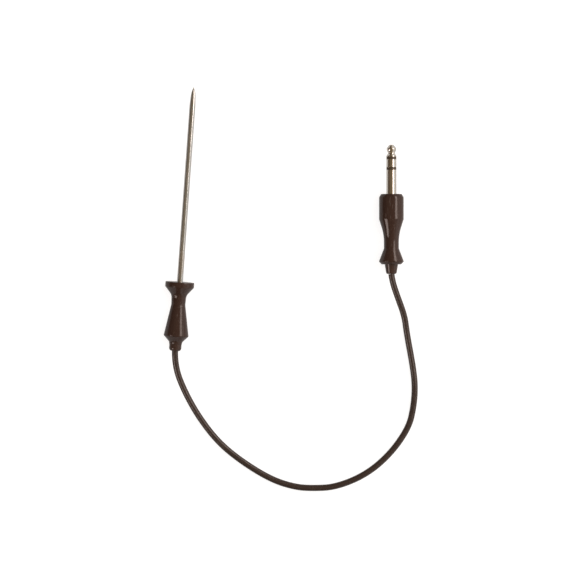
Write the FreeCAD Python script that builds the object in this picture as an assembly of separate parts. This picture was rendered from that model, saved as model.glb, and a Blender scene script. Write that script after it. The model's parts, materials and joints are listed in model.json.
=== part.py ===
import FreeCAD, Part
import math
import os

# A food temperature probe on a short lead: a steel spike in a moulded handle, a three-contact
# plug in a moulded handle, and the round cord between them. All sizes are in millimetres.
#
# Z is up and the part lies on Z = 0. The spike points along +Y and the origin is on the table
# under the middle of the spike and its handle. Each half is drawn about its own Y axis with
# zero at its handle's front face. Ahead of that lies the metal, behind it the cord, and only
# then is the half laid down in its place.

# Spike: a thin steel tube closed by a solid ground point
spike_diameter = 3.8
spike_wall = 0.35
spike_length = 124.3
spike_held = 14.0
point_length = 11.5
point_shoulder = 5.4
point_shoulder_diameter = 3.1
point_shoulder_rounding = 20.0
point_nose = 3.0
point_nose_diameter = 2.4
point_nose_rounding = 12.0
point_end_diameter = 0.4
point_end_rounding = 0.1
point_spigot = 4.0

# Where metal enters a moulding: a shallow ring recess around it, and a neck that locks it
recess_gap = 0.4
recess_depth = 0.4
tube_neck_depth = 0.3
tube_neck_length = 1.9

# Sensor in the spike's point
lead_diameter = 0.25
lead_sleeve_slack = 0.05
lead_sleeve_wall = 0.25
bead_wall = 0.25
bead_gap = 0.5
filler_length = 12.0

# Cord: two cores under a woven shield and a round jacket
conductor_diameter = 0.5
core_wall = 0.3
core_gap = 0.05
shield_slack = 0.075
shield_thickness = 0.2
jacket_wall = 0.6

# Probe handle, from its front face back
flange_diameter = 18.4
flange_rim = 3.2
flange_edge = 0.5
flange_back_length = 5.25
neck_front_diameter = 9.5
neck_front_rounding = 5.0
neck_length = 6.05
neck_diameter = 9.0
neck_back_rounding = 3.0
flare_length = 19.5
flare_diameter = 15.8
flare_land = 0.5
chamfer_length = 3.9
handle_tail_diameter = 8.2
handle_tail_rounding = 2.4
handle_tail_length = 1.3

# Brass anchor that holds the tube in the handle and carries the shield
anchor_front = 2.5
anchor_flange_diameter = 10.0
anchor_flange_width = 1.5
anchor_wall = 0.8
anchor_tail = 3.7
shield_overlap = 4.0
shield_flare = 2.7
shield_ring_wall = 0.5
shield_ring_width = 3.0
shield_ring_inset = 0.5
probe_jacket_setback = 0.8

# Crimped splices between the sensor's leads and the cord's cores
lead_sleeve_tail = 2.5
splice_lead_in = 1.5
splice_length = 5.6
splice_wire_gap = 0.2
splice_gap = 0.1
splice_sleeve_wall = 0.1
splice_sleeve_overlap = 0.7

# Bush where the cord leaves a handle
bush_neck_diameter = 5.8
bush_neck_length = 3.0
bush_collar_diameter = 7.6
bush_collar_width = 2.5
probe_bush_length = 4.43
probe_bush_diameter = 7.8
probe_bush_rounding = 1.8
plug_bush_length = 6.15
plug_bush_diameter = 8.5
plug_bush_end_diameter = 6.5
plug_bush_rounding = 1.2

# Plug contacts, a quarter-inch set of tip, ring and sleeve
plug_diameter = 6.35
plug_length = 31.45
ring_length = 5.1
band_width = 1.6
tip_face_diameter = 2.6
tip_face_rounding = 1.2
tip_nose_length = 2.3
tip_crest_diameter = 6.16
tip_crest_rounding = 1.0
tip_crest_length = 1.3
tip_back_diameter = 5.9
tip_back_rounding = 1.5
tip_fall_length = 1.45
groove_diameter = 4.5
groove_width = 0.75
groove_rounding = 0.35
tip_rise_length = 1.2
tip_skirt_length = 0.65
contact_edge = 0.12
rod_diameter = 1.9
rod_in_tip = 4.2
tip_insulation = 0.35
ring_stem_wall = 0.4
ring_insulation = 0.45
collar_front = 1.2
collar_width = 2.0
collar_diameter = 9.0
sleeve_neck_diameter = 5.7

# Terminals and washers stacked behind the plug's collar
terminal_thickness = 0.4
washer_thickness = 0.8
rivet_height = 0.5
rivet_overhang = 0.5
sleeve_terminal_diameter = 8.6
ring_washer_diameter = 7.6
ring_terminal_diameter = 5.8
tip_washer_diameter = 5.2
tip_terminal_diameter = 4.8
lug_width = 2.0
lug_length = 4.5
ring_lug_offset = 3.4
tip_lug_offset = 3.0
solder_length = 3.0

# Cores, strap and clamps between the lugs and the cord
core_setback = 1.5
core_straight = 1.0
core_bend_length = 5.0
core_bend_radius = 3.0
core_tail = 2.5
strap_width = 2.4
strap_level_length = 8.8
shield_clamp_width = 2.5
clamp_gap = 1.0
jacket_clamp_width = 3.0

# Inner moulding around the plug's terminals
inner_wall = 1.1
inner_tail_wall = 1.0
inner_tail_front = 3.5
inner_tail_back = 2.0

# Plug handle, from its front face back. Its barrel and its rear rim have one diameter,
# so the plug lies level.
grip_diameter = 15.7
nose_diameter = 13.2
nose_length = 2.0
nose_edge = 0.4
nose_rounding = 2.0
barrel_length = 14.1
barrel_edge = 0.8
shoulder_length = 9.75
waist_front_rounding = 33.0
waist_length = 8.75
waist_back_rounding = 2.0
waist_diameter = 9.5
grip_flare_length = 8.1
grip_rim_width = 0.5
grip_rim_edge = 0.4
plug_back_length = 1.65
plug_back_diameter = 12.4
plug_back_rounding = 0.8

# Where the plug lies: its cord end, seen from the cord's exit from the probe, and its heading
plug_exit_x = 134.1
plug_exit_y = 58.85
plug_heading = 4.12

# Cord route between the exits, seen from the probe's exit: x, y and the lift off the table
exit_run = 10.0
entry_run = 10.5
cord_route = [
    (7.2, -25.3, 2.9),
    (18.6, -41.8, 0.6),
    (32.6, -57.0, 0.0),
    (49.6, -68.2, 0.0),
    (67.8, -77.8, 0.0),
    (87.9, -82.0, 0.0),
    (108.3, -79.4, 0.0),
    (126.9, -70.3, 0.0),
    (141.7, -56.1, 0.0),
    (152.5, -38.6, 0.0),
    (155.7, -18.1, 0.0),
    (152.0, 2.2, 0.0),
    (146.6, 21.8, 1.1),
    (142.0, 36.0, 3.5),
]
arc_share = 0.45

# Radii and places that follow from the sizes above
spike_radius = spike_diameter / 2
spike_bore = spike_radius - spike_wall
tube_neck_radius = spike_radius - tube_neck_depth
tube_neck_bore = spike_bore - tube_neck_depth
tube_front = spike_length - point_length
spigot_back = tube_front - point_spigot

conductor_radius = conductor_diameter / 2
core_radius = conductor_radius + core_wall
core_offset = core_radius + core_gap / 2
shield_bore = core_offset + core_radius + shield_slack
shield_radius = shield_bore + shield_thickness
cord_radius = shield_radius + jacket_wall

lead_radius = lead_diameter / 2
lead_sleeve_bore = lead_radius + lead_sleeve_slack
lead_sleeve_radius = lead_sleeve_bore + lead_sleeve_wall
bead_radius = core_offset + lead_radius + bead_wall
bead_centre = spigot_back - bead_gap - bead_radius

neck_front = flange_rim + flange_back_length
neck_back = neck_front + neck_length
flare_front = neck_back + flare_length
flare_back = flare_front + flare_land
handle_tail_front = flare_back + chamfer_length
handle_length = handle_tail_front + handle_tail_length

lead_sleeve_end = spike_held + lead_sleeve_tail
splice_front = lead_sleeve_end + splice_lead_in
splice_back = splice_front + splice_length
splice_middle = (splice_front + splice_back) / 2
splice_sleeve_front = splice_front - splice_sleeve_overlap
splice_sleeve_back = splice_back + splice_sleeve_overlap
splice_sleeve_radius = core_offset - splice_gap / 2
splice_radius = splice_sleeve_radius - splice_sleeve_wall

anchor_radius = spike_radius + anchor_wall
anchor_flange_back = anchor_front + anchor_flange_width
anchor_back = splice_sleeve_back + anchor_tail
shield_foot = anchor_back + shield_flare
probe_jacket_end = shield_foot + probe_jacket_setback
shield_ring_back = anchor_back - shield_ring_inset
shield_ring_front = shield_ring_back - shield_ring_width
shield_ring_bore = anchor_radius + shield_thickness
shield_ring_radius = shield_ring_bore + shield_ring_wall

bush_depth = bush_neck_length + bush_collar_width
probe_back = handle_length + probe_bush_length

plug_radius = plug_diameter / 2
rod_radius = rod_diameter / 2
tip_insulator_radius = rod_radius + tip_insulation
ring_stem_radius = tip_insulator_radius + ring_stem_wall
ring_insulator_radius = ring_stem_radius + ring_insulation
tip_crest = plug_length - tip_nose_length
tip_back = tip_crest - tip_crest_length
groove_front = tip_back - tip_fall_length
groove_back = groove_front - groove_width
tip_skirt = groove_back - tip_rise_length
tip_start = tip_skirt - tip_skirt_length
ring_front = tip_start - band_width
ring_start = ring_front - ring_length
sleeve_front = ring_start - band_width

collar_back = collar_front + collar_width
sleeve_terminal_back = collar_back + terminal_thickness
ring_washer_back = sleeve_terminal_back + washer_thickness
ring_terminal_back = ring_washer_back + terminal_thickness
ring_rivet_back = ring_terminal_back + rivet_height
tip_washer_back = ring_rivet_back + washer_thickness
tip_terminal_back = tip_washer_back + terminal_thickness
rod_back = tip_terminal_back + rivet_height
lug_end = tip_terminal_back + lug_length
solder_front = lug_end - solder_length
core_end = lug_end + core_setback
core_bend_front = core_end + core_straight
core_bend_back = core_bend_front + core_bend_length
shield_clamp_front = core_bend_back + core_tail
shield_clamp_back = shield_clamp_front + shield_clamp_width
plug_jacket_end = shield_clamp_back + clamp_gap
jacket_clamp_back = plug_jacket_end + jacket_clamp_width
shield_clamp_radius = shield_radius + terminal_thickness
jacket_clamp_radius = cord_radius + terminal_thickness
strap_bend = collar_back + strap_level_length

inner_radius = collar_diameter / 2 + inner_wall
inner_tail_radius = jacket_clamp_radius + inner_tail_wall
inner_taper_end = plug_jacket_end - inner_tail_front
inner_end = jacket_clamp_back + inner_tail_back

barrel_end = nose_length + barrel_length
waist_front = barrel_end + shoulder_length
waist_back = waist_front + waist_length
grip_rim_front = waist_back + grip_flare_length
grip_rim_back = grip_rim_front + grip_rim_width
plug_handle_length = grip_rim_back + plug_back_length
plug_back = plug_handle_length + plug_bush_length

AXIS = FreeCAD.Vector(0, 1, 0)
UP = FreeCAD.Vector(0, 0, 1)


# Outlines and turned solids

def corner_arc(before, corner, after, radius):
    """Start, middle, end and centre of the arc that rounds a corner."""
    to_before = (before - corner).normalize()
    to_after = (after - corner).normalize()
    half_angle = to_before.getAngle(to_after) / 2
    inward = (to_before + to_after).normalize()
    reach = radius / math.tan(half_angle)
    centre = corner + inward * (radius / math.sin(half_angle))
    return corner + to_before * reach, centre - inward * radius, corner + to_after * reach, centre


def rounded_wire(points, radii, closed):
    """Straight runs through the points, joined at each corner by an arc of its radius."""
    count = len(points)
    starts = []
    ends = []
    arcs = []
    for index, (corner, radius) in enumerate(zip(points, radii)):
        start = end = corner
        arc = None
        if radius > 0:
            before = points[index - 1]
            after = points[(index + 1) % count]
            start, middle, end, centre = corner_arc(before, corner, after, radius)
            arc = Part.Arc(start, middle, end).toShape()
        starts.append(start)
        ends.append(end)
        arcs.append(arc)
    edges = []
    for index in range(count):
        if arcs[index]:
            edges.append(arcs[index])
        follower = starts[(index + 1) % count]
        if (closed or index < count - 1) and ends[index].distanceToPoint(follower) > 1e-6:
            edges.append(Part.LineSegment(ends[index], follower).toShape())
    return Part.Wire(edges)


def turned(*corners):
    """A solid turned about the Y axis. A corner is a radius, a place and, if round, a rounding."""
    points = [FreeCAD.Vector(corner[0], corner[1], 0) for corner in corners]
    radii = [corner[2] if len(corner) > 2 else 0 for corner in corners]
    face = Part.Face(rounded_wire(points, radii, closed=True))
    return face.revolve(FreeCAD.Vector(0, 0, 0), AXIS, 360)


def rod(radius, front, back):
    return turned((0, back), (radius, back), (radius, front), (0, front))


def tube(bore, radius, front, back):
    return turned((bore, back), (radius, back), (radius, front), (bore, front))


def side_rod(radius, x, front, back):
    """A round rod beside the axis."""
    return Part.makeCylinder(radius, front - back, FreeCAD.Vector(x, back, 0), AXIS)


def without(solid, *others):
    """The solid with the others cut away."""
    return solid.cut(list(others)).removeSplitter()


def swept(points, radii, radius):
    """A round solid along straight runs and arcs."""
    path = rounded_wire(points, radii, closed=False)
    circle = Part.Wire(Part.Circle(points[0], points[1] - points[0], radius).toShape())
    return path.makePipeShell([circle], True, False), path


def widest_arcs(points):
    """For each corner of a route, the largest arc that its two runs leave room for."""
    radii = [0]
    for before, corner, after in zip(points, points[1:], points[2:]):
        turn = (corner - before).getAngle(after - corner)
        shorter = min(corner.distanceToPoint(before), corner.distanceToPoint(after))
        radii.append(arc_share * shorter / math.tan(turn / 2))
    return radii + [0]


# Spike and sensor

def probe_tube():
    """Thin tube, rolled in where it enters the handle."""
    return turned(
        (spike_bore, -spike_held),
        (spike_radius, -spike_held),
        (spike_radius, -tube_neck_length),
        (tube_neck_radius, -tube_neck_length),
        (tube_neck_radius, 0),
        (spike_radius, 0),
        (spike_radius, tube_front),
        (spike_bore, tube_front),
        (spike_bore, spike_wall),
        (tube_neck_bore, spike_wall),
        (tube_neck_bore, -tube_neck_length - spike_wall),
        (spike_bore, -tube_neck_length - spike_wall),
    )


def probe_point():
    return turned(
        (0, spigot_back),
        (spike_bore, spigot_back),
        (spike_bore, tube_front),
        (spike_radius, tube_front),
        (point_shoulder_diameter / 2, spike_length - point_shoulder, point_shoulder_rounding),
        (point_nose_diameter / 2, spike_length - point_nose, point_nose_rounding),
        (point_end_diameter / 2, spike_length, point_end_rounding),
        (0, spike_length),
    )


def sensor_lead(side):
    return side_rod(lead_radius, side * core_offset, bead_centre, -splice_middle + splice_wire_gap / 2)


def lead_sleeve(side):
    place = side * core_offset
    front = bead_centre - bead_radius
    outside = side_rod(lead_sleeve_radius, place, front, -lead_sleeve_end)
    return outside.cut(side_rod(lead_sleeve_bore, place, front, -lead_sleeve_end))


def sensor_bead(leads):
    ball = Part.makeSphere(bead_radius)
    ball.translate(FreeCAD.Vector(0, bead_centre, 0))
    return without(ball, *leads)


def heat_filler(bead, leads):
    """Filler in the tube's end, around the bead and the sleeved leads."""
    back = spigot_back - filler_length
    front = bead_centre - bead_radius
    sleeves = [side_rod(lead_sleeve_radius, side * core_offset, front, back) for side in (1, -1)]
    return without(rod(spike_bore, spigot_back, back), bead, *leads, *sleeves)


# Inside of the probe handle

def tube_anchor():
    """Brass tube crimped on the spike, with a flange that the moulding grips."""
    body = tube(spike_radius, anchor_radius, -anchor_front, -anchor_back)
    flange = tube(spike_radius, anchor_flange_diameter / 2, -anchor_front, -anchor_flange_back)
    return body.fuse(flange).removeSplitter()


def splice(side, leads, conductors):
    """Crimp barrel over a lead's end and a conductor's end."""
    barrel = side_rod(splice_radius, side * core_offset, -splice_front, -splice_back)
    return without(barrel, *leads, *conductors)


def splice_sleeve(side):
    place = side * core_offset
    outside = side_rod(splice_sleeve_radius, place, -splice_sleeve_front, -splice_sleeve_back)
    return outside.cut(side_rod(splice_radius, place, -splice_sleeve_front, -splice_sleeve_back))


def probe_conductor(side):
    front = -splice_middle - splice_wire_gap / 2
    return side_rod(conductor_radius, side * core_offset, front, -probe_back)


def probe_core(side):
    place = side * core_offset
    outside = side_rod(core_radius, place, -splice_sleeve_back, -probe_back)
    return outside.cut(side_rod(conductor_radius, place, -splice_sleeve_back, -probe_back))


def anchor_potting(inner_pieces):
    """Resin in the anchor behind the tube, around the splices."""
    return without(rod(spike_radius, -spike_held, -anchor_back), *inner_pieces)


def probe_shield_outside():
    """Outer corners of the shield, from the cord up over the anchor's end."""
    return [
        (shield_radius, -probe_back),
        (shield_radius, -shield_foot - shield_thickness),
        (shield_ring_bore, -anchor_back - shield_thickness),
        (shield_ring_bore, -anchor_back + shield_overlap),
    ]


def probe_shield():
    return turned(
        *probe_shield_outside(),
        (anchor_radius, -anchor_back + shield_overlap),
        (anchor_radius, -anchor_back),
        (shield_bore, -shield_foot),
        (shield_bore, -probe_back),
    )


def shield_ring():
    return tube(shield_ring_bore, shield_ring_radius, -shield_ring_front, -shield_ring_back)


def cord_jacket_end(front, back):
    return tube(shield_radius, cord_radius, -front, -back)


def bush_inside(face):
    """Neck and locking collar of a bush, inside the handle's rear face."""
    return [
        rod(bush_neck_diameter / 2, -face + bush_neck_length, -face),
        rod(bush_collar_diameter / 2, -face + bush_depth, -face + bush_neck_length),
    ]


def cord_bush(face, end, *outside):
    """Bush around the cord: its tail behind the handle's face, and its neck and collar inside."""
    solid = turned((0, -face), (0, -end), *outside)
    for step in bush_inside(face):
        solid = solid.fuse(step)
    return without(solid, rod(cord_radius, -face + bush_depth, -end))


def probe_cord_bush():
    radius = probe_bush_diameter / 2
    return cord_bush(
        handle_length,
        probe_back,
        (radius, -probe_back, probe_bush_rounding),
        (radius, -handle_length),
    )


def probe_handle():
    """Moulded handle: a flange, a waist, a long flare and a chamfered back."""
    blank = turned(
        (0, 0),
        (flange_diameter / 2, 0, flange_edge),
        (flange_diameter / 2, -flange_rim, flange_edge),
        (neck_front_diameter / 2, -neck_front, neck_front_rounding),
        (neck_diameter / 2, -neck_back, neck_back_rounding),
        (flare_diameter / 2, -flare_front, flange_edge),
        (flare_diameter / 2, -flare_back, flange_edge),
        (handle_tail_diameter / 2, -handle_tail_front, handle_tail_rounding),
        (handle_tail_diameter / 2, -handle_length),
        (0, -handle_length),
    )
    return without(
        blank,
        rod(spike_radius + recess_gap, 0, -recess_depth),
        rod(tube_neck_radius, -recess_depth, -tube_neck_length),
        rod(spike_radius, -tube_neck_length, -anchor_front),
        rod(anchor_flange_diameter / 2, -anchor_front, -anchor_flange_back),
        rod(anchor_radius, -anchor_front, -anchor_back),
        rod(shield_ring_radius, -shield_ring_front, -shield_ring_back),
        turned((0, -probe_back), *probe_shield_outside(), (0, -anchor_back + shield_overlap)),
        rod(cord_radius, -probe_jacket_end, -probe_back),
        *bush_inside(handle_length),
    )


# Plug contacts

def plug_tip():
    """Ball end with the groove that a socket's spring drops into."""
    solid = turned(
        (0, plug_length),
        (tip_face_diameter / 2, plug_length, tip_face_rounding),
        (tip_crest_diameter / 2, tip_crest, tip_crest_rounding),
        (tip_back_diameter / 2, tip_back, tip_back_rounding),
        (groove_diameter / 2, groove_front, groove_rounding),
        (groove_diameter / 2, groove_back, groove_rounding),
        (plug_radius, tip_skirt, contact_edge),
        (plug_radius, tip_start, contact_edge),
        (0, tip_start),
    )
    return without(solid, rod(rod_radius, tip_start + rod_in_tip, tip_start))


def tip_rod():
    """Rod from the tip through the plug, riveted over behind the tip's terminal."""
    head = rod(rod_radius + rivet_overhang, -tip_terminal_back, -rod_back)
    return rod(rod_radius, tip_start + rod_in_tip, -rod_back).fuse(head).removeSplitter()


def insulator(bore, radius, band_front, back):
    """Insulating band with a thin tube that runs back through the plug."""
    band = tube(bore, plug_radius, band_front, band_front - band_width)
    return band.fuse(tube(bore, radius, band_front, -back)).removeSplitter()


def plug_ring():
    contact = turned(
        (tip_insulator_radius, ring_start),
        (plug_radius, ring_start, contact_edge),
        (plug_radius, ring_front, contact_edge),
        (tip_insulator_radius, ring_front),
    )
    stem = tube(tip_insulator_radius, ring_stem_radius, ring_front, -ring_rivet_back)
    head_radius = ring_stem_radius + rivet_overhang
    head = tube(tip_insulator_radius, head_radius, -ring_terminal_back, -ring_rivet_back)
    return contact.fuse([stem, head]).removeSplitter()


def plug_sleeve():
    """Long barrel with a collar that the mouldings grip."""
    barrel = turned(
        (ring_insulator_radius, -collar_front),
        (sleeve_neck_diameter / 2, -collar_front),
        (sleeve_neck_diameter / 2, 0),
        (plug_radius, 0),
        (plug_radius, sleeve_front, contact_edge),
        (ring_insulator_radius, sleeve_front),
    )
    collar = tube(ring_insulator_radius, collar_diameter / 2, -collar_front, -collar_back)
    return barrel.fuse(collar).removeSplitter()


# Plug terminals

def lug_terminal(bore, diameter, front, offset, side):
    """Round plate with a lug that is bent back beside the axis. The offset is to its outer face."""
    back = front + terminal_thickness
    plate = rod(diameter / 2, -front, -back)
    inner = offset - terminal_thickness
    corner = FreeCAD.Vector(min(0, side * offset), -back, -lug_width / 2)
    ear = Part.makeBox(offset, terminal_thickness, lug_width, corner)
    corner = FreeCAD.Vector(min(side * inner, side * offset), -lug_end, -lug_width / 2)
    lug = Part.makeBox(terminal_thickness, lug_end - front, lug_width, corner)
    return without(plate.fuse([ear, lug]), rod(bore, -front, -back))


def strap_outline():
    """Places and heights of the strap's upper face, from the plate back to the cord clamp."""
    plate_edge = -sleeve_terminal_diameter / 2 + terminal_thickness
    return [
        (-collar_back, plate_edge),
        (-strap_bend, plate_edge),
        (-shield_clamp_front, -shield_radius),
        (-shield_clamp_back, -shield_radius),
        (-plug_jacket_end, -cord_radius),
        (-jacket_clamp_back, -cord_radius),
    ]


def sleeve_terminal():
    """Plate behind the collar, with a strap and two rings that clamp the shield and the jacket."""
    plate = rod(sleeve_terminal_diameter / 2, -collar_back, -sleeve_terminal_back)
    upper = [FreeCAD.Vector(-strap_width / 2, place, height) for place, height in strap_outline()]
    lower = [corner - UP * terminal_thickness for corner in reversed(upper)]
    outline = Part.makePolygon(upper + lower + upper[:1])
    strap = Part.Face(outline).extrude(FreeCAD.Vector(strap_width, 0, 0))
    shield_clamp = rod(shield_clamp_radius, -shield_clamp_front, -shield_clamp_back)
    jacket_clamp = rod(jacket_clamp_radius, -plug_jacket_end, -jacket_clamp_back)
    return without(
        plate.fuse([strap, shield_clamp, jacket_clamp]),
        rod(ring_insulator_radius, -collar_back, -sleeve_terminal_back),
        rod(shield_radius, -shield_clamp_front, -shield_clamp_back),
        rod(cord_radius, -plug_jacket_end, -jacket_clamp_back),
    )


def core_path(side, end, front):
    """Corners of a core's path, from the cord's cut end to beside its lug."""
    return [
        FreeCAD.Vector(side * core_offset, -plug_back, 0),
        FreeCAD.Vector(side * core_offset, -core_bend_back, 0),
        FreeCAD.Vector(side * end, -core_bend_front, 0),
        FreeCAD.Vector(side * end, -front, 0),
    ]


def plug_wire(side, offset, front, radius):
    """A core or its conductor, which ends beside the inner face of its lug."""
    end = offset - terminal_thickness - conductor_radius
    bends = [0, core_bend_radius, core_bend_radius, 0]
    return swept(core_path(side, end, front), bends, radius)[0]


def inner_envelope():
    """Outside of the inner moulding, which the plug handle is moulded over."""
    return turned(
        (0, -collar_front),
        (inner_radius, -collar_front),
        (inner_radius, -strap_bend),
        (inner_tail_radius, -inner_taper_end),
        (inner_tail_radius, -inner_end),
        (0, -inner_end),
    )


def plug_inner_mould(inner_pieces):
    """Inner moulding that fixes the terminals, the wires and the clamp."""
    stack = rod(ring_insulator_radius, -collar_front, -sleeve_terminal_back)
    shield_core = rod(shield_radius, -shield_clamp_front, -inner_end)
    jacket_core = rod(cord_radius, -plug_jacket_end, -inner_end)
    return without(inner_envelope(), stack, shield_core, jacket_core, *inner_pieces)


def plug_cord_bush():
    return cord_bush(
        plug_handle_length,
        plug_back,
        (plug_bush_end_diameter / 2, -plug_back, plug_bush_rounding),
        (plug_bush_diameter / 2, -plug_handle_length),
    )


def plug_handle():
    """Moulded handle: a barrel, a waist and a rear rim."""
    blank = turned(
        (0, 0),
        (nose_diameter / 2, 0, nose_edge),
        (grip_diameter / 2, -nose_length, nose_rounding),
        (grip_diameter / 2, -barrel_end, barrel_edge),
        (waist_diameter / 2, -waist_front, waist_front_rounding),
        (waist_diameter / 2, -waist_back, waist_back_rounding),
        (grip_diameter / 2, -grip_rim_front, grip_rim_edge),
        (grip_diameter / 2, -grip_rim_back, grip_rim_edge),
        (plug_back_diameter / 2, -plug_handle_length, plug_back_rounding),
        (0, -plug_handle_length),
    )
    return without(
        blank,
        rod(plug_radius + recess_gap, 0, -recess_depth),
        rod(sleeve_neck_diameter / 2, -recess_depth, -collar_front),
        inner_envelope(),
        rod(cord_radius, -inner_end, -plug_handle_length),
        *bush_inside(plug_handle_length),
    )


# The two halves, each about its own axis

def probe_half():
    leads = {side: sensor_lead(side) for side in (1, -1)}
    conductors = {side: probe_conductor(side) for side in (1, -1)}
    bead = sensor_bead(leads.values())
    pieces = {
        "probe_tube": probe_tube(),
        "probe_point": probe_point(),
        "thermistor_bead": bead,
        "heat_filler": heat_filler(bead, leads.values()),
        "tube_anchor": tube_anchor(),
        "probe_shield": probe_shield(),
        "shield_ring": shield_ring(),
        "probe_cord_jacket": cord_jacket_end(probe_jacket_end, probe_back),
        "probe_cord_bush": probe_cord_bush(),
        "probe_handle": probe_handle(),
    }
    wiring = []
    for letter, side in (("a", 1), ("b", -1)):
        pieces["sensor_lead_" + letter] = leads[side]
        pieces["lead_sleeve_" + letter] = lead_sleeve(side)
        pieces["splice_" + letter] = splice(side, leads.values(), conductors.values())
        pieces["splice_sleeve_" + letter] = splice_sleeve(side)
        pieces["probe_conductor_" + letter] = conductors[side]
        pieces["probe_core_" + letter] = probe_core(side)
        wiring += [
            leads[side],
            side_rod(lead_sleeve_radius, side * core_offset, -spike_held, -lead_sleeve_end),
            side_rod(splice_sleeve_radius, side * core_offset,
                     -splice_sleeve_front, -splice_sleeve_back),
            side_rod(core_radius, side * core_offset, -splice_sleeve_back, -anchor_back),
        ]
    pieces["anchor_potting"] = anchor_potting(wiring)
    return pieces


def plug_half():
    pieces = {
        "plug_tip": plug_tip(),
        "tip_rod": tip_rod(),
        "tip_insulator": insulator(rod_radius, tip_insulator_radius, tip_start, tip_washer_back),
        "plug_ring": plug_ring(),
        "ring_insulator": insulator(ring_stem_radius, ring_insulator_radius, ring_start,
                                    sleeve_terminal_back),
        "plug_sleeve": plug_sleeve(),
        "sleeve_terminal": sleeve_terminal(),
        "ring_washer": tube(ring_stem_radius, ring_washer_diameter / 2,
                            -sleeve_terminal_back, -ring_washer_back),
        "ring_terminal": lug_terminal(ring_stem_radius, ring_terminal_diameter,
                                      ring_washer_back, ring_lug_offset, -1),
        "tip_washer": tube(tip_insulator_radius, tip_washer_diameter / 2,
                           -ring_rivet_back, -tip_washer_back),
        "tip_terminal": lug_terminal(rod_radius, tip_terminal_diameter,
                                     tip_washer_back, tip_lug_offset, 1),
        "plug_shield": tube(shield_bore, shield_radius, -shield_clamp_front, -plug_back),
        "plug_cord_jacket": cord_jacket_end(plug_jacket_end, plug_back),
        "plug_cord_bush": plug_cord_bush(),
        "plug_handle": plug_handle(),
    }
    envelopes = []
    for letter, side, offset in (("a", 1, tip_lug_offset), ("b", -1, ring_lug_offset)):
        conductor = plug_wire(side, offset, solder_front, conductor_radius)
        envelope = plug_wire(side, offset, core_end, core_radius)
        pieces["plug_conductor_" + letter] = conductor
        pieces["plug_core_" + letter] = envelope.cut(conductor)
        envelopes += [conductor, envelope]
    moulded_in = ["plug_sleeve", "sleeve_terminal", "ring_washer", "ring_terminal", "plug_ring",
                  "tip_insulator", "tip_washer", "tip_terminal", "tip_rod"]
    pieces["plug_inner_mould"] = plug_inner_mould([pieces[name] for name in moulded_in] + envelopes)
    return pieces


# Where each half lies

def rim_arc_centre(before, corner, after):
    """Centre of the arc that rounds one of the probe handle's rims, as radius and place."""
    points = [FreeCAD.Vector(radius, place, 0) for radius, place in (before, corner, after)]
    centre = corner_arc(*points, flange_edge)[3]
    return centre.x, centre.y


def probe_placement():
    """The probe lies on its flange and its flare, which lifts the spike's point."""
    flange_radius, flange_place = rim_arc_centre(
        (flange_diameter / 2, 0),
        (flange_diameter / 2, -flange_rim),
        (neck_front_diameter / 2, -neck_front),
    )
    flare_radius, flare_place = rim_arc_centre(
        (flare_diameter / 2, -flare_front),
        (flare_diameter / 2, -flare_back),
        (handle_tail_diameter / 2, -handle_tail_front),
    )
    tilt = math.atan2(flange_radius - flare_radius, flange_place - flare_place)
    height = flange_radius * math.cos(tilt) + flange_edge - flange_place * math.sin(tilt)
    middle = (probe_back - spike_length) / 2 * math.cos(tilt)
    turn = FreeCAD.Rotation(FreeCAD.Vector(1, 0, 0), math.degrees(tilt))
    return FreeCAD.Placement(FreeCAD.Vector(0, middle, height), turn)


def plug_placement(probe_exit):
    """The plug lies level on its barrel and its rear rim, heading a little to the left."""
    turn = FreeCAD.Rotation(UP, plug_heading)
    exit_point = FreeCAD.Vector(probe_exit.x + plug_exit_x, probe_exit.y + plug_exit_y, grip_diameter / 2)
    return FreeCAD.Placement(exit_point + turn.multVec(AXIS * plug_back), turn)


def cord(probe_place, plug_place):
    """Free stretch of the cord, from one bush to the other."""
    probe_exit = probe_place.multVec(AXIS * -probe_back)
    plug_exit = plug_place.multVec(AXIS * -plug_back)
    points = [probe_exit, probe_place.multVec(AXIS * (-probe_back - exit_run))]
    for x, y, lift in cord_route:
        points.append(FreeCAD.Vector(probe_exit.x + x, probe_exit.y + y, cord_radius + lift))
    points += [plug_place.multVec(AXIS * (-plug_back - entry_run)), plug_exit]
    radii = widest_arcs(points)
    solid, path = swept(points, radii, cord_radius)
    print("cord arc radii:", ", ".join("%.1f" % radius for radius in radii[1:-1]))
    print("cord length %.1f, volume %.1f, section times length %.1f"
          % (path.Length, solid.Volume, math.pi * cord_radius ** 2 * path.Length))
    return solid


def main():
    os.makedirs("parts", exist_ok=True)
    probe_place = probe_placement()
    plug_place = plug_placement(probe_place.multVec(AXIS * -probe_back))
    pieces = {"cord": cord(probe_place, plug_place)}
    for half, place in ((probe_half(), probe_place), (plug_half(), plug_place)):
        for name, solid in half.items():
            solid.Placement = place.multiply(solid.Placement)
            pieces[name] = solid
    for name, solid in pieces.items():
        solid.exportStep("parts/" + name + ".step")
    print(len(pieces), "parts, spike raised by %.2f degrees" % math.degrees(probe_place.Rotation.Angle))


main()
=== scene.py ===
import bmesh
import bpy
import json
import math
from mathutils import Euler, Matrix, Vector


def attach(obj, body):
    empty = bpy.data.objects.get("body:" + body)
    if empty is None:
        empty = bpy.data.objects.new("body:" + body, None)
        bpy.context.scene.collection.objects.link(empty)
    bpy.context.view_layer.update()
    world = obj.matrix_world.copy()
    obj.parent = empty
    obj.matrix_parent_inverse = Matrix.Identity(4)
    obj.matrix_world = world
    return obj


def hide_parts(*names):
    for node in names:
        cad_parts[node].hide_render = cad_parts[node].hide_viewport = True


# A food temperature probe lying on a white table, seen straight down. All lengths are in metres.

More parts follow.
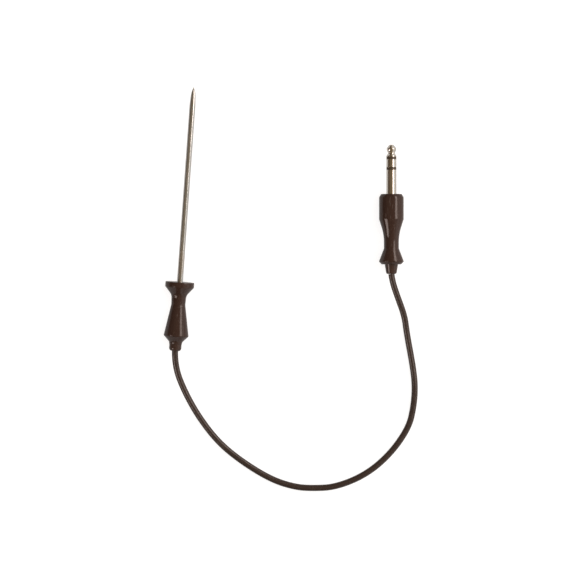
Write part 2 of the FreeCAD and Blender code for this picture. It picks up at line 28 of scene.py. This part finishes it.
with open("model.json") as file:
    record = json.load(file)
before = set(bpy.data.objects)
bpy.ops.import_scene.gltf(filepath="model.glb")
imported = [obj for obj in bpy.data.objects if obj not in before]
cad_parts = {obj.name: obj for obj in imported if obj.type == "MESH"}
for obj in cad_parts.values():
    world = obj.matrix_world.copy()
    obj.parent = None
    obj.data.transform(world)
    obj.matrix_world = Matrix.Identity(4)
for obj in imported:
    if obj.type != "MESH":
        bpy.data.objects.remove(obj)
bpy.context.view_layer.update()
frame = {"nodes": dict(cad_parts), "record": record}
nodes = frame["nodes"]

# View: the photograph's middle, its width at this height, the camera's distance from it, the roll
VIEW_MIDDLE = (0.07035, -0.04010)
VIEW_WIDTH = 0.37004
VIEW_HEIGHT = 0.006
VIEW_DISTANCE = 3.0
VIEW_ROLL = math.radians(4.12)
SENSOR = 36.0

# Each half's own frame: zero at its handle's front face, Y along its axis
PROBE_ORIGIN = (0, -0.04005, 0.009318)
PROBE_TURN = (math.radians(2.3798), 0, 0)
PLUG_ORIGIN = (0.130436, 0.025576, 0.00785)
PLUG_TURN = (0, 0, math.radians(4.12))

# Cord: its diameter, its cores' turns, and its middle line from the probe's bush to the plug's
CORD_DIAMETER = 0.004
CORD_TURNS = 11.0
CORD_POINTS = [
    (0.00000, -0.08414, 0.00749),
    (0.00050, -0.09360, 0.00700),
    (0.00760, -0.10920, 0.00470),
    (0.01860, -0.12594, 0.00260),
    (0.03260, -0.14134, 0.00200),
    (0.04960, -0.15284, 0.00200),
    (0.06780, -0.16194, 0.00200),
    (0.08250, -0.16540, 0.00200),
    (0.09350, -0.16540, 0.00200),
    (0.10840, -0.16364, 0.00200),
    (0.12700, -0.15444, 0.00200),
    (0.14165, -0.14024, 0.00200),
    (0.15230, -0.12254, 0.00200),
    (0.15450, -0.10900, 0.00200),
    (0.15450, -0.09550, 0.00200),
    (0.15190, -0.08194, 0.00200),
    (0.14685, -0.06290, 0.00260),
    (0.14455, -0.05150, 0.00410),
    (0.13940, -0.04020, 0.00645),
    (0.13510, -0.03020, 0.00785),
    (0.13410, -0.02529, 0.00785),
]

# Handles: how round their edges look, how wide these are worn, and the parting line's half widths
HANDLE_ROUNDING = 0.0011
HANDLE_RUB = 0.0004
PARTING_OUTER = 0.00015
PARTING_INNER = 0.00003

# Metal: how wide the plating's edges are worn, and how far the spike's stains reach from the handle
PLATING_RUB = 0.0002
STAIN_REACH = 0.060

# Worn edges: samples of their direction, and the cosine of its turn where wear starts and is full
EDGE_SAMPLES = 4
WEAR_STARTS = 0.99
WEAR_FULL = 0.9

# Inner pieces by slot: the dark and the light tone, roughness, metallic and grain per metre
SOLIDS = {
    "band_dark": ((0.030, 0.021, 0.013), (0.062, 0.045, 0.028), 0.22, 0.0, 1500.0),
    "brass": ((0.50, 0.36, 0.15), (0.66, 0.50, 0.24), 0.30, 1.0, 1500.0),
    "copper": ((0.55, 0.27, 0.16), (0.72, 0.40, 0.26), 0.30, 1.0, 1500.0),
    "sleeve_white": ((0.62, 0.60, 0.54), (0.76, 0.74, 0.69), 0.45, 0.0, 1500.0),
    "core_red": ((0.34, 0.020, 0.016), (0.46, 0.036, 0.028), 0.36, 0.0, 1500.0),
    "core_white": ((0.66, 0.64, 0.59), (0.78, 0.77, 0.72), 0.36, 0.0, 1500.0),
    "bead_glass": ((0.05, 0.03, 0.02), (0.12, 0.07, 0.04), 0.14, 0.0, 1500.0),
    "filler": ((0.42, 0.40, 0.37), (0.58, 0.56, 0.52), 0.60, 0.0, 1500.0),
    "resin": ((0.05, 0.035, 0.02), (0.11, 0.08, 0.05), 0.24, 0.0, 1500.0),
    "fibre": ((0.24, 0.15, 0.08), (0.34, 0.22, 0.13), 0.60, 0.0, 2600.0),
    "inner_plastic": ((0.030, 0.018, 0.013), (0.046, 0.030, 0.023), 0.40, 0.0, 1500.0),
    "cord_brown": ((0.021, 0.0132, 0.0106), (0.034, 0.023, 0.019), 0.26, 0.0, 1500.0),
}

# Table: its half width, its depth below the part, its greys, and their lift if seen or reflected
TABLE_REACH = 4.0
TABLE_DROP = 0.00005
TABLE_GREYS = ((0.31, 0.314, 0.318), (0.33, 0.334, 0.338))
LIFT_SEEN = 0.78
LIFT_REFLECTED = 0.22

# Lamps: their colours, as linear red, green and blue
WARM = (1.0, 0.83, 0.76)
WHITE = (1.0, 1.0, 1.0)

# The room's walls: degrees from overhead towards the right, and the colour there
WALLS = [
    (-90, (0.10, 0.068, 0.045)),
    (-55, (0.10, 0.068, 0.045)),
    (-20, (0.19, 0.137, 0.080)),
    (26, (0.20, 0.145, 0.090)),
    (36, (0.50, 0.440, 0.370)),
    (62, (0.52, 0.460, 0.400)),
    (67, (0.98, 0.920, 0.850)),
    (78, (0.98, 0.920, 0.850)),
    (84, (0.62, 0.570, 0.510)),
]

# The photograph's directions on the table
RIGHT = Vector((math.cos(VIEW_ROLL), math.sin(VIEW_ROLL), 0))
AHEAD = Vector((-math.sin(VIEW_ROLL), math.cos(VIEW_ROLL), 0))
UP = Vector((0, 0, 1))


# Camera

def make_camera():
    data = bpy.data.cameras.new("camera")
    data.sensor_width = SENSOR
    data.lens = SENSOR * VIEW_DISTANCE / VIEW_WIDTH
    camera = bpy.data.objects.new("camera", data)
    camera.location = (*VIEW_MIDDLE, VIEW_HEIGHT + VIEW_DISTANCE)
    camera.rotation_euler = (0, 0, VIEW_ROLL)
    bpy.context.collection.objects.link(camera)
    bpy.context.scene.camera = camera


# Cord

def make_cord():
    """The cord's round line between the two bushes. It stands for the CAD cord."""
    data = bpy.data.curves.new("cord_line", "CURVE")
    data.dimensions = "3D"
    data.bevel_depth = 1
    data.bevel_resolution = 10
    data.resolution_u = 24
    data.use_fill_caps = True
    spline = data.splines.new("NURBS")
    spline.points.add(len(CORD_POINTS) - 1)
    for point, place in zip(spline.points, CORD_POINTS):
        point.co = (*place, 1)
        point.radius = CORD_DIAMETER / 2
    spline.order_u = 3
    spline.use_endpoint_u = True
    data.materials.append(cord_jacket("cord_jacket"))
    cord = bpy.data.objects.new("cord_line", data)
    bpy.context.collection.objects.link(cord)
    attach(cord, "root")
    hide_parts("cord")


# Finishes

class Finish:
    """A node material in a piece's own frame, with short calls for the nodes it is made of."""

    def __init__(self, name, origin=(0, 0, 0), turn=(0, 0, 0)):
        self.material = bpy.data.materials.new(name)
        self.material.use_nodes = True
        self.nodes = self.material.node_tree.nodes
        self.links = self.material.node_tree.links
        self.surface = self.nodes["Principled BSDF"]
        back = Euler(turn).to_matrix().inverted()
        mapping = self.node("Mapping", Vector=self.node("TexCoord").outputs["Object"])
        mapping.inputs["Location"].default_value = -(back @ Vector(origin))
        mapping.inputs["Rotation"].default_value = back.to_euler()
        self.place = mapping.outputs["Vector"]
        self.normal = None

    def node(self, kind, **inputs):
        made = self.nodes.new("ShaderNode" + kind)
        for name, value in inputs.items():
            self.put(made.inputs[name], value)
        return made

    def put(self, socket, value):
        """Links the socket to another node's output, or sets it to a constant."""
        if isinstance(value, bpy.types.NodeSocket):
            self.links.new(value, socket)
        else:
            socket.default_value = value

    def noise(self, across, along, detail):
        """Noise from 0 to 1. The scales are per metre, across and along the piece's axis."""
        stretched = self.node("Mapping", Vector=self.place)
        stretched.inputs["Scale"].default_value = (across, along, across)
        return self.node("TexNoise", Vector=stretched.outputs["Vector"], Scale=1.0,
                         Detail=detail).outputs["Fac"]

    def levels(self, value, low, high, to_low=0.0, to_high=1.0):
        """Maps the value's stretch from low to high onto another one, in a smooth step."""
        made = self.nodes.new("ShaderNodeMapRange")
        made.interpolation_type = "SMOOTHSTEP"
        for name, setting in (("Value", value), ("From Min", low), ("From Max", high),
                              ("To Min", to_low), ("To Max", to_high)):
            self.put(made.inputs[name], setting)
        return made.outputs["Result"]

    def maths(self, operation, first, second=0.5):
        """A sum, a product or, of the first value alone, a sine or an absolute value."""
        made = self.nodes.new("ShaderNodeMath")
        made.operation = operation
        self.put(made.inputs[0], first)
        self.put(made.inputs[1], second)
        return made.outputs[0]

    def blend(self, share, first, second):
        """A colour between the first, at share 0, and the second, at share 1."""
        made = self.nodes.new("ShaderNodeMix")
        made.data_type = "RGBA"
        # A Mix node's colours are its inputs 6 and 7 and its output 2
        self.put(made.inputs[0], share)
        for place, colour in ((6, first), (7, second)):
            linked = isinstance(colour, bpy.types.NodeSocket)
            self.put(made.inputs[place], colour if linked else (*colour, 1))
        return made.outputs[2]

    def bump(self, height, distance):
        """Relief of that distance at height 1, on top of what was there."""
        made = self.node("Bump", Height=height, Distance=distance, Strength=1.0)
        if self.normal:
            self.put(made.inputs["Normal"], self.normal)
        self.normal = made.outputs["Normal"]

    def rounded(self, radius):
        """The surface's direction as if its edges had that radius."""
        made = self.node("Bevel", Radius=radius)
        made.samples = EDGE_SAMPLES
        return made.outputs["Normal"]

    def edges(self, radius):
        """1 on edges that are sharper than the radius, and 0 on open surfaces."""
        product = self.nodes.new("ShaderNodeVectorMath")
        product.operation = "DOT_PRODUCT"
        self.put(product.inputs[0], self.rounded(radius))
        self.put(product.inputs[1], self.node("NewGeometry").outputs["Normal"])
        return self.levels(product.outputs["Value"], WEAR_STARTS, WEAR_FULL)

    def done(self, colour, roughness, metallic=0.0, **settings):
        self.put(self.surface.inputs["Base Color"], colour)
        self.put(self.surface.inputs["Roughness"], roughness)
        self.put(self.surface.inputs["Metallic"], metallic)
        for name, value in settings.items():
            self.put(self.surface.inputs[name.replace("_", " ")], value)
        if self.normal:
            self.put(self.surface.inputs["Normal"], self.normal)
        return self.material


def glossy_moulding(name, origin, turn):
    """Glossy dark brown handle, with flow marks, a parting line, scuffs and rubbed rims."""
    finish = Finish(name, origin, turn)
    dark, light = (0.024, 0.0120, 0.0088), (0.037, 0.0205, 0.0156)
    scuffed, rubbed = (0.085, 0.062, 0.052), (0.110, 0.085, 0.072)

    tone = finish.blend(finish.noise(260, 60, 3), dark, light)
    scuffs = finish.levels(finish.noise(1500, 170, 4), 0.60, 0.70)
    patches = finish.levels(finish.noise(500, 500, 2), 0.35, 0.65)
    rims = finish.maths("MULTIPLY", finish.edges(HANDLE_RUB), patches)
    colour = finish.blend(finish.maths("MULTIPLY", scuffs, 0.35), tone, scuffed)
    colour = finish.blend(finish.maths("MULTIPLY", rims, 0.5), colour, rubbed)

    smears = finish.levels(finish.noise(140, 90, 3), 0.3, 0.75, to_low=0.07, to_high=0.14)
    roughness = finish.maths("ADD", smears, finish.maths("MULTIPLY", scuffs, 0.2))

    height = finish.node("SeparateXYZ", Vector=finish.place).outputs["Z"]
    parting = finish.levels(finish.maths("ABSOLUTE", height), PARTING_OUTER, PARTING_INNER)
    finish.normal = finish.rounded(HANDLE_ROUNDING)
    finish.bump(finish.noise(90, 45, 1), distance=0.00025)
    finish.bump(finish.noise(2200, 1400, 2), distance=0.000006)
    finish.bump(parting, distance=0.00003)
    return finish.done(colour, roughness, IOR=1.44)


def bush_rubber(name, origin, turn):
    """Softer brown rubber of the bushes, with a little dust."""
    finish = Finish(name, origin, turn)
    dark, light, dusty = (0.027, 0.014, 0.0105), (0.044, 0.026, 0.020), (0.10, 0.082, 0.070)
    tone = finish.blend(finish.noise(500, 300, 3), dark, light)
    dust = finish.levels(finish.noise(1800, 1800, 3), 0.62, 0.75, to_low=0.0, to_high=0.3)
    colour = finish.blend(dust, tone, dusty)
    finish.bump(finish.noise(1600, 1600, 3), distance=0.00001)
    roughness = finish.levels(finish.noise(300, 200, 2), 0.3, 0.7, to_low=0.09, to_high=0.16)
    return finish.done(colour, roughness, IOR=1.46)


def cord_jacket(name):
    """Semi-gloss brown jacket: a slow wave from the twisted cores, a fine grain and some dust."""
    finish = Finish(name)
    dark, light, dusty = (0.021, 0.0132, 0.0106), (0.034, 0.0230, 0.0190), (0.13, 0.11, 0.095)
    on_line = finish.node("SeparateXYZ", Vector=finish.node("TexCoord").outputs["UV"])
    twist = finish.maths("MULTIPLY", on_line.outputs["X"], CORD_TURNS)
    turns = finish.maths("ADD", twist, on_line.outputs["Y"])
    wave = finish.maths("SINE", finish.maths("MULTIPLY", turns, 2 * math.pi))
    tone = finish.blend(finish.noise(130, 130, 3), dark, light)
    dust = finish.levels(finish.noise(1400, 1400, 4), 0.60, 0.74, to_low=0.0, to_high=0.25)
    colour = finish.blend(dust, tone, dusty)
    roughness = finish.levels(finish.noise(200, 200, 3), 0.3, 0.7, to_low=0.20, to_high=0.32)
    finish.bump(wave, distance=0.00002)
    finish.bump(finish.noise(900, 900, 3), distance=0.000014)
    return finish.done(colour, roughness)


def drawn_steel(name, origin, turn, across, along):
    """Polished steel with fine lines, shallow waves and brown stains towards the handle."""
    finish = Finish(name, origin, turn)
    dark, light, stained = (0.54, 0.56, 0.555), (0.71, 0.73, 0.725), (0.46, 0.36, 0.26)
    lines = finish.noise(across, along, 3)
    reach = finish.node("SeparateXYZ", Vector=finish.place).outputs["Y"]
    near_handle = finish.levels(reach, STAIN_REACH, 0.0, to_low=0.05, to_high=0.35)
    patches = finish.levels(finish.noise(350, 90, 3), 0.35, 0.65)
    stains = finish.maths("MULTIPLY", near_handle, patches)
    colour = finish.blend(stains, finish.blend(lines, dark, light), stained)
    roughness = finish.levels(finish.noise(400, 70, 3), 0.3, 0.7, to_low=0.12, to_high=0.22)
    finish.bump(finish.noise(260, 30, 1), distance=0.00004)
    finish.bump(finish.noise(700, 14, 1), distance=0.00007)
    finish.bump(lines, distance=0.000001)
    return finish.done(colour, roughness, metallic=0.93)


def turned_nickel(name):
    """Plated plug contact: turning rings, lines from plugging in, and thin plating on edges."""
    finish = Finish(name, PLUG_ORIGIN, PLUG_TURN)
    dark, light = (0.68, 0.66, 0.61), (0.80, 0.78, 0.73)
    polished, worn = (0.90, 0.88, 0.84), (0.70, 0.55, 0.34)
    rings = finish.noise(60, 5200, 2)
    rubs = finish.levels(finish.noise(2600, 60, 3), 0.55, 0.72)
    bright = finish.blend(rings, dark, light)
    bright = finish.blend(finish.maths("MULTIPLY", rubs, 0.4), bright, polished)
    colour = finish.blend(finish.edges(PLATING_RUB), bright, worn)
    gloss = finish.levels(finish.noise(250, 160, 3), 0.3, 0.7, to_low=0.10, to_high=0.19)
    roughness = finish.maths("ADD", gloss, finish.maths("MULTIPLY", rubs, 0.08))
    finish.bump(finish.noise(180, 90, 1), distance=0.000004)
    finish.bump(rings, distance=0.0000005)
    return finish.done(colour, roughness, metallic=1.0)


def plain_solid(name, dark, light, roughness, metallic, grain):
    """Inner pieces: a tone that varies, patches of gloss and a fine grain."""
    finish = Finish(name)
    colour = finish.blend(finish.noise(600, 600, 3), dark, light)
    patches = finish.levels(finish.noise(350, 350, 2), 0.3, 0.7,
                            to_low=roughness - 0.07, to_high=roughness + 0.07)
    finish.bump(finish.noise(grain, grain, 3), distance=0.00001)
    return finish.done(colour, patches, metallic=metallic)


def woven_shield(name):
    """Tinned copper braid: strands that cross the cord at a slant."""
    finish = Finish(name)
    dark, light = (0.34, 0.31, 0.27), (0.72, 0.69, 0.64)
    strands = finish.node("TexWave", Vector=finish.place, Scale=900.0, Distortion=1.5)
    strands.bands_direction = "DIAGONAL"
    colour = finish.blend(strands.outputs["Fac"], dark, light)
    roughness = finish.levels(finish.noise(1900, 1900, 2), 0.3, 0.7, to_low=0.25, to_high=0.42)
    finish.bump(strands.outputs["Fac"], distance=0.00008)
    return finish.done(colour, roughness, metallic=1.0)


def dress_nodes():
    """Gives each CAD node its own finish if it shows, and otherwise that of its slot."""
    outer = {
        "probe_handle": glossy_moulding("handle_brown_probe", PROBE_ORIGIN, PROBE_TURN),
        "plug_handle": glossy_moulding("handle_brown_plug", PLUG_ORIGIN, PLUG_TURN),
        "probe_cord_bush": bush_rubber("bush_brown_probe", PROBE_ORIGIN, PROBE_TURN),
        "plug_cord_bush": bush_rubber("bush_brown_plug", PLUG_ORIGIN, PLUG_TURN),
        "probe_tube": drawn_steel("spike_steel_tube", PROBE_ORIGIN, PROBE_TURN, 3200, 26),
        "probe_point": drawn_steel("spike_steel_point", PROBE_ORIGIN, PROBE_TURN, 240, 2600),
    }
    by_slot = {slot: plain_solid(slot, *look) for slot, look in SOLIDS.items()}
    by_slot["braid"] = woven_shield("braid")
    by_slot["plug_nickel"] = turned_nickel("plug_nickel")
    for subpart in frame["record"]["subparts"]:
        name = subpart["node"]
        material = outer.get(name) or by_slot[subpart["material_slot"]]
        for place in nodes[name].material_slots:
            place.material = material


# Table, light and world

def make_table():
    """Grey table that keeps shadows. It is lifted to white for the camera, less in reflections."""
    mesh = bpy.data.meshes.new("table")
    shape = bmesh.new()
    bmesh.ops.create_grid(shape, x_segments=8, y_segments=8, size=TABLE_REACH)
    shape.to_mesh(mesh)
    shape.free()
    table = bpy.data.objects.new("table", mesh)
    table.location = (*VIEW_MIDDLE, -TABLE_DROP)
    bpy.context.collection.objects.link(table)

    finish = Finish("table_white")
    ray = finish.node("LightPath").outputs
    seen = finish.maths("ADD", ray["Is Camera Ray"], ray["Is Transmission Ray"])
    lift = finish.maths("ADD", finish.maths("MULTIPLY", seen, LIFT_SEEN),
                        finish.maths("MULTIPLY", ray["Is Glossy Ray"], LIFT_REFLECTED))
    grey = finish.blend(finish.noise(3, 3, 2), *TABLE_GREYS)
    finish.done(grey, 0.9)
    finish.surface.inputs["Emission Color"].default_value = (1, 1, 1, 1)
    finish.put(finish.surface.inputs["Emission Strength"], lift)
    finish.surface.inputs["Specular IOR Level"].default_value = 0.0
    mesh.materials.append(finish.material)


def softbox(name, direction, distance, width, length, radiance, colour, in_gloss=True):
    """A rectangular lamp that faces the view's middle. The direction is right, ahead and up."""
    data = bpy.data.lights.new(name, "AREA")
    data.color = colour
    data.shape = "RECTANGLE"
    data.size = width
    data.size_y = length
    data.energy = radiance * math.pi * width * length
    lamp = bpy.data.objects.new(name, data)
    towards = (RIGHT * direction[0] + AHEAD * direction[1] + UP * direction[2]).normalized()
    side = AHEAD.cross(towards).normalized()
    upright = towards.cross(side)
    place = Matrix.Translation(Vector((*VIEW_MIDDLE, 0)) + towards * distance)
    facing = Matrix((side, upright, towards)).transposed().to_4x4()
    lamp.matrix_world = place @ facing
    lamp.visible_camera = False
    lamp.visible_glossy = in_gloss
    bpy.context.collection.objects.link(lamp)


def make_lamps():
    """A tall window on the right, a small lamp on the left, and two fills without highlights."""
    softbox("window_right", (0.667, 0.375, 0.644), distance=1.5, width=0.48, length=1.34,
            radiance=4.8, colour=WARM)
    softbox("lamp_left", (-0.75, -0.39, 0.56), distance=0.9, width=0.36, length=0.43,
            radiance=5.4, colour=WARM)
    softbox("side_fill", (0.92, 0.10, 0.37), distance=0.8, width=0.60, length=0.60,
            radiance=3.0, colour=WARM, in_gloss=False)
    softbox("top_fill", (0.0, 0.05, 1.0), distance=1.2, width=1.30, length=1.30,
            radiance=1.8, colour=WHITE, in_gloss=False)


def make_world():
    """A plain room: dim warm walls overhead and on the left, pale ones low on the right."""
    world = bpy.data.worlds.new("room")
    bpy.context.scene.world = world
    world.use_nodes = True
    tree = world.node_tree
    room = tree.nodes["Background"]
    direction = tree.nodes.new("ShaderNodeTexCoord").outputs["Generated"]
    to_right = tree.nodes.new("ShaderNodeVectorMath")
    to_right.operation = "DOT_PRODUCT"
    to_right.inputs[1].default_value = RIGHT
    tree.links.new(direction, to_right.inputs[0])
    split = tree.nodes.new("ShaderNodeSeparateXYZ")
    tree.links.new(direction, split.inputs[0])
    angle = tree.nodes.new("ShaderNodeMath")
    angle.operation = "ARCTAN2"
    tree.links.new(to_right.outputs["Value"], angle.inputs[0])
    tree.links.new(split.outputs["Z"], angle.inputs[1])
    share = tree.nodes.new("ShaderNodeMapRange")
    share.inputs["From Min"].default_value = -math.pi
    share.inputs["From Max"].default_value = math.pi
    tree.links.new(angle.outputs[0], share.inputs["Value"])
    ramp = tree.nodes.new("ShaderNodeValToRGB")
    tree.links.new(share.outputs["Result"], ramp.inputs["Fac"])
    stops = ramp.color_ramp.elements
    while len(stops) < len(WALLS):
        stops.new(0.5)
    for stop, (degrees, colour) in zip(stops, WALLS):
        stop.position = 0.5 + degrees / 360
        stop.color = (*colour, 1)
    tree.links.new(ramp.outputs["Color"], room.inputs["Color"])

    # The camera itself sees plain white behind the table
    white = tree.nodes.new("ShaderNodeBackground")
    white.inputs["Color"].default_value = (1, 1, 1, 1)
    choice = tree.nodes.new("ShaderNodeMixShader")
    is_camera = tree.nodes.new("ShaderNodeLightPath").outputs["Is Camera Ray"]
    tree.links.new(is_camera, choice.inputs[0])
    tree.links.new(room.outputs[0], choice.inputs[1])
    tree.links.new(white.outputs[0], choice.inputs[2])
    tree.links.new(choice.outputs[0], tree.nodes["World Output"].inputs["Surface"])


make_camera()
make_cord()
dress_nodes()
make_table()
make_lamps()
make_world()
bpy.context.scene.view_settings.view_transform = "Standard"
